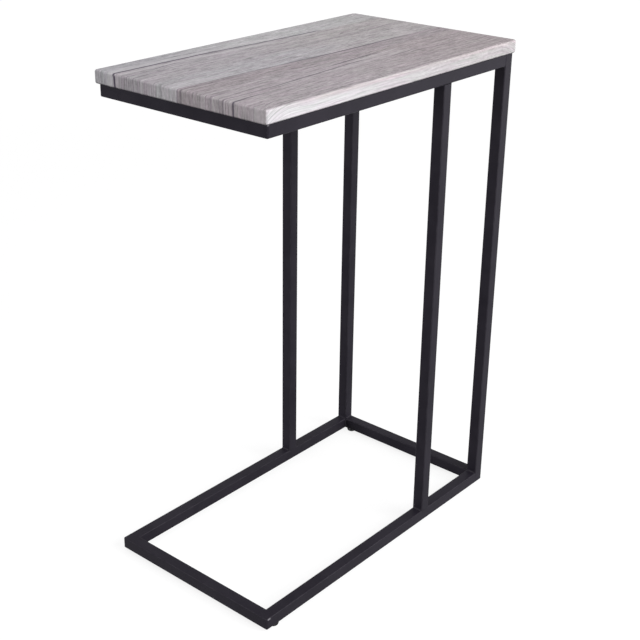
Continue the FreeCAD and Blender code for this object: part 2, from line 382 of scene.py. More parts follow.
@dataclass(frozen=True)
class Line:
    """A line of the print, drawn along the board.

    Attributes:
        start: Where it starts, seen from above.
        depth: How strongly it covers the tone under it.
        fade: Length over which each end runs out.
        bow: How far its middle stands off the straight line.
        core: Share of its width that it covers in full.
    """

    start: Place
    end: Place
    half_width: float
    depth: float
    fade: float = 0.02
    bow: float = 0.0
    core: float = 0.3

    def cover(self, graph: Graph, along: Socket, across: Socket) -> Socket:
        """How far the line covers a point.

        Args:
            graph: The tree that it is built in.
            along: Place along the grain.
            across: Place across it.

        Returns:
            The share of the line's colour.
        """
        (start_x, start_y), (end_x, end_y) = self.start, self.end
        run = graph.ramp(along, Ramp(start_x, end_x, smooth=False))
        rise = graph.times(run, graph.less(1.0, run), BOW_SCALE * self.bow)
        centre = graph.total(graph.times(run, end_y - start_y), start_y, rise)
        offset = graph.math("ABSOLUTE", graph.less(across, centre))
        cover = graph.ramp(offset, Ramp(self.core * self.half_width, self.half_width, self.depth, 0.0))
        starts = graph.ramp(along, Ramp(start_x - self.fade, start_x))
        ends = graph.ramp(along, Ramp(end_x, end_x + self.fade, 1.0, 0.0))
        return graph.times(cover, starts, ends)


# Joints, cracks and dark streaks. A start at -0.245 lies past the foot of the board's front edge.
DARK_LINES = (
    Line((-0.245, 0.0937), (-0.229, 0.0942), 0.0024, 0.95, 0.004),
    Line((-0.226, 0.0958), (-0.075, 0.0944), 0.0021, 0.88, 0.004),
    Line((-0.075, 0.0942), (0.088, 0.085), 0.0022, 0.78, bow=-0.001),
    Line((-0.245, -0.003), (-0.06, -0.0078), 0.0012, 0.46),
    Line((-0.05, -0.0082), (0.125, -0.0112), 0.002, 0.65, 0.035, bow=-0.002),
    Line((-0.245, -0.0836), (-0.22, -0.0828), 0.0018, 0.78),
    Line((-0.222, -0.0825), (-0.195, -0.0805), 0.0013, 0.67),
    Line((-0.195, -0.0805), (-0.14, -0.088), 0.001, 0.31),
    Line((-0.245, -0.0642), (-0.165, -0.0588), 0.0008, 0.4),
    Line((-0.245, -0.0685), (-0.137, -0.0685), 0.001, 0.52, bow=-0.001),
    Line((-0.137, -0.0685), (0.0, -0.0597), 0.0013, 0.7, bow=0.0006),
    Line((-0.025, -0.0515), (0.04, -0.0473), 0.0013, 0.8, bow=0.0004),
    Line((0.06, -0.0702), (0.092, -0.067), 0.001, 0.53),
    Line((0.097, -0.0725), (0.15, -0.078), 0.0026, 0.25),
    Line((0.085, -0.0935), (0.15, -0.096), 0.002, 0.25),
    Line((-0.015, -0.031), (0.03, -0.0328), 0.0009, 0.37),
    Line((-0.175, 0.0805), (-0.152, 0.083), 0.0013, 0.66),
    Line((-0.245, 0.063), (-0.18, 0.068), 0.0011, 0.43),
    Line((-0.052, 0.0428), (0.04, 0.0415), 0.0014, 0.31, 0.03),
    Line((0.06, 0.0435), (0.26, 0.044), 0.005, 0.2, 0.05),
    Line((-0.052, 0.007), (-0.04, 0.0088), 0.0009, 0.53),
    Line((-0.245, 0.0742), (-0.2, 0.0752), 0.0014, 0.37),
    Line((-0.245, 0.0565), (-0.205, 0.057), 0.0008, 0.34),
    Line((-0.245, -0.0075), (-0.12, -0.012), 0.0022, 0.25),
    Line((-0.245, -0.026), (-0.19, -0.027), 0.0009, 0.28),
    Line((-0.245, -0.052), (-0.205, -0.051), 0.0022, 0.31),
    Line((-0.245, -0.1105), (-0.19, -0.1095), 0.0008, 0.28),
    Line((-0.245, 0.08), (-0.229, 0.08), 0.017, 0.17, 0.008),
    Line((-0.245, 0.062), (-0.229, 0.062), 0.017, 0.17, 0.008),
    Line((-0.245, 0.042), (-0.229, 0.042), 0.012, 0.11, 0.008),
)
# Pale streaks.
LIGHT_LINES = (
    Line((-0.245, 0.051), (-0.2, 0.0515), 0.0008, 0.45),
    Line((-0.245, 0.088), (-0.12, 0.0872), 0.0034, 0.32),
    Line((-0.11, 0.0868), (0.0, 0.0805), 0.0042, 0.36),
    Line((-0.245, 0.102), (-0.14, 0.102), 0.0055, 0.4),
    Line((-0.13, 0.1015), (0.02, 0.096), 0.006, 0.28),
    Line((-0.245, 0.006), (-0.19, 0.006), 0.015, 0.16, 0.04),
    Line((-0.245, -0.116), (-0.229, -0.116), 0.014, 0.24, 0.008),
    Line((-0.03, -0.066), (0.06, -0.062), 0.009, 0.14, 0.05),
    Line((-0.245, -0.0432), (-0.2, -0.0425), 0.0009, 0.42),
    Line((-0.245, -0.0005), (-0.165, -0.003), 0.0016, 0.35),
    Line((-0.245, -0.1), (-0.205, -0.099), 0.0008, 0.4),
    Line((-0.245, -0.071), (-0.215, -0.0715), 0.0007, 0.35),
    Line((0.01, -0.0555), (0.075, -0.0508), 0.0014, 0.55),
    Line((-0.08, -0.069), (0.005, -0.0668), 0.001, 0.26),
    Line((0.065, 0.079), (0.085, 0.0788), 0.001, 0.3),
    Line((0.07, -0.031), (0.117, -0.0335), 0.001, 0.28),
)


@dataclass(frozen=True)
class GrainFoil:
    """Weathered-grey wood print on foil, wrapped from the top over the edges.

    Attributes:
        half_length: Half the board's length.
        half_width: Half the board's width.
        top: Level of the board's upper face.
    """

    half_length: float
    half_width: float
    top: float

    # The far board is silver to stone, the middle one mauve to sand and the near one rosy to russet.
    silver: Colour = (0.370, 0.361, 0.382)
    stone: Colour = (0.419, 0.408, 0.414)
    pale: Colour = (0.455, 0.446, 0.456)
    mauve: Colour = (0.366, 0.341, 0.361)
    sand: Colour = (0.385, 0.360, 0.366)
    cool: Colour = (0.396, 0.383, 0.403)
    brown: Colour = (0.323, 0.288, 0.304)
    rosy: Colour = (0.354, 0.320, 0.338)
    russet: Colour = (0.341, 0.303, 0.313)
    # Painted light: the long edges are painted paler than the top, for the light that falls on them, more at
    # the front end.
    painted_light_edge_front: Colour = (0.614, 0.594, 0.618)
    painted_light_edge_back: Colour = (0.432, 0.408, 0.418)
    blush: Colour = (0.452, 0.400, 0.411)
    # Painted shade: the foot of the edges, under the board's lower rounding.
    painted_lip_shade: Colour = (0.060, 0.054, 0.066)
    dark_line: Colour = (0.070, 0.056, 0.084)
    light_line: Colour = (0.600, 0.575, 0.590)
    warm_tint: Colour = (1.025, 0.990, 1.020)
    cold_tint: Colour = (0.965, 1.010, 0.975)

    # How the print runs over the edges: the long edges win at a corner by a lead, their grain falls
    # towards the ends, and their colour starts on the rounding.
    corner_lead: float = 0.0003
    arch_reach: float = 0.038
    arch_fall: float = 0.012
    round_reach: float = 0.0035
    round_drop: float = 0.15
    long_edge: Ramp = Ramp(0.0001, 0.0016, smooth=False)

    # Where one colour gives way to another: along or across the board, down its edge or by noise.
    to_back: Ramp = Ramp(-0.12, 0.16)
    far_bound: Ramp = Ramp(-0.19, 0.12, 0.0965, 0.0830)
    near_bound: Ramp = Ramp(-0.225, 0.03, -0.0030, -0.0110)
    bound_blur: Ramp = Ramp(-0.0008, 0.0008)
    cool_band: Ramp = Ramp(0.024, 0.042, 1.0, 0.0)
    cool_veil: Ramp = Ramp(0.32, 0.60, 0.1, 1.0)
    cool_to_back: Ramp = Ramp(0.2, 0.8, 1.0, 0.2)
    brown_strip: Ramp = Ramp(-0.040, -0.028)
    pale_middle: float = 0.03
    pale_reach: Ramp = Ramp(0.02, 0.17, 1.0, 0.0)
    mauve_veil: Ramp = Ramp(0.38, 0.62, 0.35, 0.0)
    # The painted light of the long edges fades from the front to the back.
    edge_to_back: Ramp = Ramp(-0.27, 0.20)
    blush_drop: Ramp = Ramp(0.0006, 0.0065, 0.9, 0.0)
    blush_veil: Ramp = Ramp(0.3, 0.6, 0.6, 1.0)
    blush_along: Ramp = Ramp(-0.22, -0.12, 0.35, 1.0)
    # Painted shade: where the dark strip at the foot of the edges starts.
    lip_shade_drop: Ramp = Ramp(0.0138, 0.0149, 0.0, 0.75)

    # Noise along the grain, from broad bands to pores, with what it changes. Calm and still are how
    # much less of the streaks and of the grit the long edges show, a painted washed-out look of the light on
    # them.
    sway: Noise = Noise((9.0, 14.0, 1.0), swing=0.004)
    line_sway: float = 0.15
    broad: Noise = Noise((5.0, 60.0, 1.0), swing=0.12)
    band: Noise = Noise((11.0, 190.0, 1.0), 3.0, 0.6, 21.0, 0.26)
    streak: Noise = Noise((22.0, 400.0, 1.0), 3.0, 0.65, 3.0, 0.60)
    streak_gloss: float = 0.10
    streak_height: float = 0.5
    fibre: Noise = Noise((45.0, 1300.0, 1.0), 2.0, 0.6, 6.0, 0.34)
    fibre_height: float = 0.3
    fleck: Noise = Noise((75.0, 380.0, 1.0), 2.0, 0.7, 27.0, 0.52)
    speck: Noise = Noise((280.0, 400.0, 1.0), 2.0, 0.7, 30.0, 0.30)
    edge_streak: Noise = Noise((12.0, 900.0, 1.0), 2.0, 0.7, 36.0, 0.48)
    edge_calm: float = 0.62
    edge_still: Ramp = Ramp(-0.05, 0.18, 0.70, 0.25)
    pore: Noise = Noise((110.0, 2100.0, 1.0), 1.0, 0.5, 9.0)
    pore_share: Ramp = Ramp(0.62, 0.74)
    pore_dip: float = 0.14
    pore_height: float = -0.4
    cloud: Noise = Noise((6.0, 20.0, 1.0), 3.0, 0.55, 12.0)
    cloud_across: float = 0.010
    cloud_along: float = 0.10
    veil: Noise = Noise((12.0, 210.0, 1.0), 2.0, 0.5, 15.0)
    hue: Noise = Noise((20.0, 300.0, 1.0), 2.0, 0.6, 33.0)
    hue_share: Ramp = Ramp(0.3, 0.7)
    flow: Noise = Noise((5.0, 26.0, 1.0), 1.0, 0.5, 18.0, 2.6)
    rings_per_metre: float = 150.0
    ring_fold: float = 0.5
    ring_share: Ramp = Ramp(0.0, 0.09, 1.0, 0.0)
    ring_cloud: Ramp = Ramp(0.4, 0.62)
    ring_dip: float = 0.20
    line_height: float = -0.8
    roughness: float = 0.76
    specular: float = 0.04
    emboss_height: float = 0.00005

    def unrolled(self, graph: Graph) -> List[Socket]:
        """Lay the foil out flat, so that the print runs on over an edge as it does on the top.

        Args:
            graph: The tree that the coordinates are built in.

        Returns:
            The place along the grain, the place across it, the way down from the top and the share of
            the long edges.
        """
        x, y, z = graph.split(graph.place())
        drop = graph.math("MAXIMUM", graph.less(self.top, z), 0.0)
        length = graph.math("ABSOLUTE", x)
        past_end = graph.less(length, self.half_length)
        past_side = graph.less(graph.math("ABSOLUTE", y), self.half_width)
        on_side = graph.math("GREATER_THAN", graph.total(past_side, self.corner_lead), past_end)
        on_end = graph.less(1.0, on_side)
        along = graph.total(x, graph.times(graph.math("SIGN", x), drop, on_end))
        to_end = graph.ramp(length, Ramp(self.half_length - self.arch_reach, self.half_length, smooth=False))
        arched = graph.less(drop, graph.times(to_end, to_end, self.arch_fall))
        beside = graph.times(graph.math("SIGN", y), arched, on_side)
        near_side = graph.math("MAXIMUM", graph.total(past_side, self.round_reach), 0.0)
        round_side = graph.total(drop, graph.times(near_side, self.round_drop))
        long_edge = graph.times(on_side, graph.ramp(round_side, self.long_edge))
        return [along, graph.total(y, beside), drop, long_edge]

    def ground(self, graph: Graph, along: Socket, across: Socket, cloud: Socket, veil: Socket) -> Socket:
        """The colours of the printed boards, before their streaks.

        Args:
            graph: The tree that they are built in.
            along: Place along the grain.
            across: Place across it.
            cloud: Slow noise that breaks the bounds between colours.
            veil: Long noise that lets one colour show through another.

        Returns:
            The colour's socket.
        """
        wander = graph.total(across, graph.swing(cloud, self.cloud_across))
        to_back = graph.ramp(graph.total(along, graph.swing(cloud, self.cloud_along)), self.to_back)
        far_bound = graph.ramp(along, self.far_bound)
        far_board = graph.ramp(graph.less(across, far_bound), self.bound_blur)
        near_bound = graph.ramp(along, self.near_bound)
        near_board = graph.ramp(graph.less(near_bound, across), self.bound_blur)
        to_cool = graph.times(graph.ramp(wander, self.cool_band), graph.ramp(veil, self.cool_veil),
                              graph.ramp(to_back, self.cool_to_back))
        middle = graph.blend(to_cool, graph.blend(to_back, self.mauve, self.sand), self.cool)
        outer = graph.blend(to_back, self.rosy, self.russet)
        near = graph.blend(graph.ramp(wander, self.brown_strip), outer, self.brown)
        from_middle = graph.math("ABSOLUTE", graph.less(along, self.pale_middle))
        far = graph.blend(to_back, self.silver, self.stone)
        far = graph.blend(graph.ramp(from_middle, self.pale_reach), far, self.pale)
        far = graph.blend(graph.ramp(veil, self.mauve_veil), far, self.mauve)
        return graph.blend(near_board, graph.blend(far_board, middle, far), near)

    def material(self) -> Material:
        """Three printed boards with streaks, growth rings, pores, drawn lines and a light emboss, long edges
        painted paler for their light and a painted shade at their foot.

        Returns:
            The finished material.
        """
        graph = Graph(bpy.data.materials.new("grain_foil"))
        along, across, drop, long_edge = self.unrolled(graph)
        flat = graph.join(along, across, 0.0)
        sway = graph.wave(flat, self.sway)
        grain = graph.join(along, graph.total(across, sway), 0.0)
        streak = graph.noise(grain, self.streak)
        fibre = graph.noise(grain, self.fibre)
        pore = graph.ramp(graph.noise(grain, self.pore), self.pore_share)
        cloud = graph.noise(flat, self.cloud)
        veil = graph.noise(grain, self.veil)
        count = graph.total(graph.times(across, self.rings_per_metre), graph.wave(flat, self.flow))
        fold = graph.math("PINGPONG", count, self.ring_fold)
        ring = graph.times(graph.ramp(fold, self.ring_share), graph.ramp(cloud, self.ring_cloud))

        base = self.ground(graph, along, across, cloud, veil)
        # Painted light: the long edges are coloured paler than the top for the bright light on them, palest
        # at the front.
        edge = graph.blend(graph.ramp(along, self.edge_to_back), self.painted_light_edge_front, self.painted_light_edge_back)
        upper = graph.times(graph.ramp(drop, self.blush_drop), graph.ramp(veil, self.blush_veil),
                            graph.ramp(along, self.blush_along))
        base = graph.blend(long_edge, base, graph.blend(upper, edge, self.blush))
        # Painted shade: a dark strip at the foot of the edges, for the shade under the board's lower
        # rounding.
        base = graph.blend(graph.ramp(drop, self.lip_shade_drop), base, self.painted_lip_shade)
        hue = graph.ramp(graph.noise(grain, self.hue), self.hue_share)
        base = graph.blend(1.0, base, graph.blend(hue, self.warm_tint, self.cold_tint), "MULTIPLY")

        calm = graph.less(1.0, graph.times(long_edge, self.edge_calm))
        still = graph.less(1.0, graph.times(long_edge, graph.ramp(along, self.edge_still)))
        swings = graph.total(graph.wave(grain, self.broad), graph.wave(grain, self.band),
                             graph.swing(streak, self.streak.swing), graph.swing(fibre, self.fibre.swing))
        dips = graph.total(graph.times(ring, self.ring_dip), graph.times(pore, self.pore_dip))
        grit = graph.total(graph.wave(grain, self.fleck), graph.wave(grain, self.speck))
        tone = graph.total(1.0, graph.times(graph.less(swings, dips), calm), graph.times(grit, still),
                           graph.times(graph.wave(grain, self.edge_streak), long_edge))
        base = graph.blend(1.0, base, graph.join(tone, tone, tone), "MULTIPLY")

        line_across = graph.total(across, graph.times(sway, self.line_sway))
        light, dark = (graph.greatest([line.cover(graph, along, line_across) for line in lines])
                       for lines in (LIGHT_LINES, DARK_LINES))
        base = graph.blend(dark, graph.blend(light, base, self.light_line), self.dark_line)
        gloss = graph.total(self.roughness, graph.swing(streak, self.streak_gloss))
        height = graph.total(graph.times(streak, self.streak_height), graph.times(fibre, self.fibre_height),
                             graph.times(pore, self.pore_height), graph.times(dark, self.line_height))
        return graph.coat(base, gloss, graph.bump(height, self.emboss_height), self.specular)


@dataclass(frozen=True)
class PlainFinish:
    """A finish of two colours that noise mixes, with a fine tooth.

    Attributes:
        low: Colour where the noise is low.
        high: Colour where it is high.
        patch: The noise, which swings the roughness too.
        share: Where the noise turns from one colour to the other.
    """

    name: str
    low: Colour
    high: Colour
    patch: Noise
    share: Ramp
    tooth: Noise
    tooth_height: float
    roughness: float
    specular: float = 0.5
    metallic: float = 0.0

    def material(self) -> Material:
        """Patches of the two colours over the tooth.

        Returns:
            The finished material.
        """
        graph = Graph(bpy.data.materials.new(self.name))
        place = graph.place()
        patch = graph.noise(place, self.patch)
        base = graph.blend(graph.ramp(patch, self.share), self.low, self.high)
        gloss: Value = self.roughness
        if self.patch.swing:
            gloss = graph.total(self.roughness, graph.swing(patch, self.patch.swing))
        normal = graph.bump(graph.noise(place, self.tooth), self.tooth_height)
        return graph.coat(base, gloss, normal, self.specular, self.metallic)


# Short fibres, matted, inside the foil.
FIBRES = Noise((700.0, 700.0, 1600.0), 3.0, 0.65)
FIBREBOARD = PlainFinish(
    "fibreboard", low=(0.28, 0.19, 0.115), high=(0.42, 0.30, 0.19), patch=FIBRES, share=Ramp(0.35, 0.65),
    tooth=FIBRES, tooth_height=0.0001, roughness=0.9, specular=0.2)
# Faint paper mottle under the board.
BACKING_SHEET = PlainFinish(
    "backing_sheet", low=(0.37, 0.36, 0.35), high=(0.47, 0.46, 0.45),
    patch=Noise((120.0, 120.0, 120.0), 4.0, 0.6, swing=0.1), share=Ramp(0.3, 0.7),
    tooth=Noise((1500.0, 1500.0, 1500.0)), tooth_height=0.00003, roughness=0.75, specular=0.3)
# Cloudy bright plate with turned marks, on the screws, studs and nuts.
ZINC_PLATE = PlainFinish(
    "zinc_plate", low=(0.42, 0.42, 0.45), high=(0.62, 0.62, 0.63),
    patch=Noise((260.0, 260.0, 260.0), 3.0, 0.6, swing=0.12), share=Ramp(0.3, 0.7),
    tooth=Noise((300.0, 300.0, 6000.0)), tooth_height=0.00001, roughness=0.38, metallic=1.0)
# Spark texture with light scuffs, on the feet and plugs.
MOULDED_PLASTIC = PlainFinish(
    "moulded_plastic", low=(0.010, 0.010, 0.0105), high=(0.024, 0.024, 0.025),
    patch=Noise((180.0, 180.0, 420.0), 4.0, 0.65, swing=0.12), share=Ramp(0.5, 0.75),
    tooth=Noise((2200.0, 2200.0, 2200.0)), tooth_height=0.00002, roughness=0.55, specular=0.15)


def dress(node: str, material: Material) -> None:
    """Give a CAD node a material in place of its own.

    Args:
        node: The node's name.
        material: What it gets.
    """
    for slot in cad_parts[node].material_slots:
        slot.material = material
    LOG.info("dressed %s in %s", node, material.name)


class Workpiece:
    """A mesh on the bench: a primitive that operators shape in edit mode."""

    def __init__(self, name: str) -> None:
        """Take up the primitive that was added last, with its place put in its mesh.

        Args:
            name: The piece's name.
        """
        bpy.ops.object.transform_apply(location=True, rotation=True, scale=True)
        self.piece = bpy.context.active_object
        self.piece.name = name
        self.piece.data.name = name
        bpy.ops.object.mode_set(mode="EDIT")

    @classmethod
    def rod(cls, name: str, radius: float, low: Point, height: float, segments: int) -> "Workpiece":
        """Start from an upright cylinder that stands on a point."""
        bpy.ops.mesh.primitive_cylinder_add(vertices=segments, radius=radius, depth=height,
                                            location=(low[0], low[1], low[2] + height / 2))
        return cls(name)

    def pick(self, kind: Pick, wanted: Callable[[Element], bool]) -> None:
        """Select the points, edges or faces that pass a test.

        Args:
            kind: Which of them.
            wanted: The test.
        """
        bpy.ops.mesh.select_mode(type=kind.value)
        bpy.ops.mesh.select_all(action="DESELECT")
        mesh = bmesh.from_edit_mesh(self.piece.data)
        elements = {Pick.POINTS: mesh.verts, Pick.EDGES: mesh.edges, Pick.FACES: mesh.faces}
        for element in elements[kind]:
            element.select_set(wanted(element))
        bmesh.update_edit_mesh(self.piece.data)

    def pick_level_faces(self, level: float, up: bool) -> None:
        """Select the level faces at one height that look up or down."""
        turn = 1.0 if up else -1.0
        self.pick(Pick.FACES, lambda face: abs(face.calc_center_median().z - level) < LEVEL_SLACK
                  and face.normal.z * turn > LEVEL_NORMAL)

    def pick_level_edges(self, level: float) -> None:
        """Select the edges that lie at one height."""
        self.pick(Pick.EDGES, lambda edge: all(abs(end.co.z - level) < LEVEL_SLACK for end in edge.verts))

    @staticmethod
    def narrow(share: float, middle: Point) -> None:
        """Scale what is selected towards an upright line."""
        bpy.ops.transform.resize(value=(share, share, 1.0), center_override=middle)

    @staticmethod
    def pull(height: float) -> None:
        """Extrude the selected faces up, or down where the height is less than nought."""
        bpy.ops.mesh.extrude_region_move(TRANSFORM_OT_translate={"value": (0.0, 0.0, height)})

    def done(self, material: Material) -> Piece:
        """Leave edit mode with clean normals, smooth shading and a material.

        Args:
            material: What the piece is dressed in.

        Returns:
            The finished piece.
        """
        bpy.ops.mesh.select_all(action="SELECT")
        bpy.ops.mesh.normals_make_consistent(inside=False)
        bpy.ops.object.mode_set(mode="OBJECT")
        bpy.ops.object.shade_smooth_by_angle(angle=SMOOTH_ANGLE)
        self.piece.data.materials.clear()
        self.piece.data.materials.append(material)
        return self.piece


def copy_to(piece: Piece, name: str, shift: Vector) -> Piece:
    """A copy of a piece with its own mesh, moved within that mesh.

    Args:
        piece: What is copied.
        name: The copy's name.
        shift: How far it is moved.

    Returns:
        The copy.
    """
    copy = piece.copy()
    copy.data = piece.data.copy()
    copy.name = name
    copy.data.name = name
    copy.data.transform(Matrix.Translation(shift))
    bpy.context.scene.collection.objects.link(copy)
    return copy


@dataclass
class TubeFrame:
    """The welded frame of square tube."""

    nodes: Tuple[str, ...] = (
        "base_front_rail", "base_back_rail", "base_left_rail", "base_right_rail",
        "top_front_rail", "top_back_rail", "top_left_rail", "top_right_rail",
        "back_left_post", "back_right_post", "mid_left_upright", "mid_right_upright", "frame_welds",
    )
    plugs: str = "post_plugs"
    coat: PowderCoat = field(default_factory=PowderCoat)

    def build(self, plastic: Material) -> None:
        """Coat the tubes and welds.

        Args:
            plastic: The plugs' material.
        """
        black = self.coat.material()
        for node in self.nodes:
            dress(node, black)
        dress(self.plugs, plastic)


@dataclass
class BoardScrews:
    """The screws that hold the board down, seen through the holes under the long rails.

    Attributes:
        rows: Places of the screws along each long rail.
        side: Distance of the rails' middle from the table's.
        tip_share: Radius of the tip's end, as a share of the shank's.
        recess_taper: Length and width of the recess's floor, as a share of its mouth's.
    """

    node: str = "tabletop_screws"
    rows: Tuple[float, ...] = (-0.161, -0.04125, 0.14975)
    side: float = 0.1175
    head_radius: float = 0.004
    head_height: float = 0.0026
    head_round: float = 0.001
    round_segments: int = 5
    shank_radius: float = 0.0018
    tip_length: float = 0.004
    tip_share: float = 0.08
    recess_length: float = 0.0044
    recess_width: float = 0.0009
    recess_depth: float = 0.0015
    recess_taper: float = 0.6
    segments: int = 40

    def recess(self, name: str, middle: Point, size: Point) -> Piece:
        """One wing of the cross recess, tapered towards its floor.

        Args:
            name: The cutter's name.
            middle: Its middle.
            size: Its length, width and height.

        Returns:
            The cutter.
        """
        bpy.ops.mesh.primitive_cube_add(size=1.0, location=middle, scale=size)
        cutter = Workpiece(name)
        floor_level = middle[2] + size[2] / 2
        cutter.pick_level_faces(floor_level, up=True)
        cutter.narrow(self.recess_taper, (middle[0], middle[1], floor_level))
        bpy.ops.object.mode_set(mode="OBJECT")
        return cutter.piece

    @staticmethod
    def cut(piece: Piece, cutter: Piece) -> None:
        """Cut one wing of the recess out of a head.

        Args:
            piece: The screw.
            cutter: The wing, which is used up.
        """
        bpy.context.view_layer.objects.active = piece
        saw = piece.modifiers.new("recess", "BOOLEAN")
        saw.operation = "DIFFERENCE"
        saw.solver = "EXACT"
        saw.object = cutter
        bpy.ops.object.modifier_apply(modifier=saw.name)
        bpy.data.objects.remove(cutter)

    def one(self, zinc: Material) -> Piece:
        """Model the first screw: a pan head with a cross recess, and a pointed shank.

        Args:
            zinc: Its material.

        Returns:
            The screw, at the first place.
        """
        low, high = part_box(self.node)
        head = (self.rows[0], -self.side, low.z)
        tip = (self.rows[0], -self.side, high.z)
        seat = low.z + self.head_height
        screw = Workpiece.rod("board_screws", self.head_radius, head, self.head_height, self.segments)
        screw.pick_level_edges(low.z)
        bpy.ops.mesh.bevel(offset=self.head_round, segments=self.round_segments, affect="EDGES")
        screw.pick_level_faces(seat, up=True)
        bpy.ops.mesh.inset(thickness=self.head_radius - self.shank_radius)
        screw.pull(high.z - self.tip_length - seat)
        screw.pull(self.tip_length)
        screw.narrow(self.tip_share, tip)
        piece = screw.done(zinc)
        length, width, height = self.recess_length, self.recess_width, 2 * self.recess_depth
        for name, size in (("slot_a", (length, width, height)), ("slot_b", (width, length, height))):
            self.cut(piece, self.recess(name, head, size))
        return piece

    def build(self, zinc: Material) -> None:
        """Model one screw, copy it to its six places and join the copies.

        Args:
            zinc: The screws' material.
        """
        first = self.one(zinc)
        copies = []
        for sign in (-1.0, 1.0):
            for row in self.rows:
                shift = Vector((row - self.rows[0], (sign + 1.0) * self.side, 0.0))
                if shift.length > LEVEL_SLACK:
                    copies.append(copy_to(first, "board_screw_copy", shift))
        bpy.ops.object.select_all(action="DESELECT")
        for copy in copies:
            copy.select_set(True)
        first.select_set(True)
        bpy.context.view_layer.objects.active = first
        bpy.ops.object.join()
        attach(first, "table")
        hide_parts(self.node)
        LOG.info("built %s", first.name)


@dataclass
class Tabletop:
    """The board with its foil, backing and screws."""

    foil: str = "tabletop_foil"
    core: str = "tabletop_core"
    backing: str = "tabletop_backing"
    screws: BoardScrews = field(default_factory=BoardScrews)

    def build(self, zinc: Material) -> None:
        """Dress the board and model its screws.

        Args:
            zinc: The screws' material.
        """
        low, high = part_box(self.foil)
        print_finish = GrainFoil((high.x - low.x) / 2, (high.y - low.y) / 2, high.z)
        dress(self.foil, print_finish.material())
        dress(self.core, FIBREBOARD.material())
        dress(self.backing, BACKING_SHEET.material())
        self.screws.build(zinc)


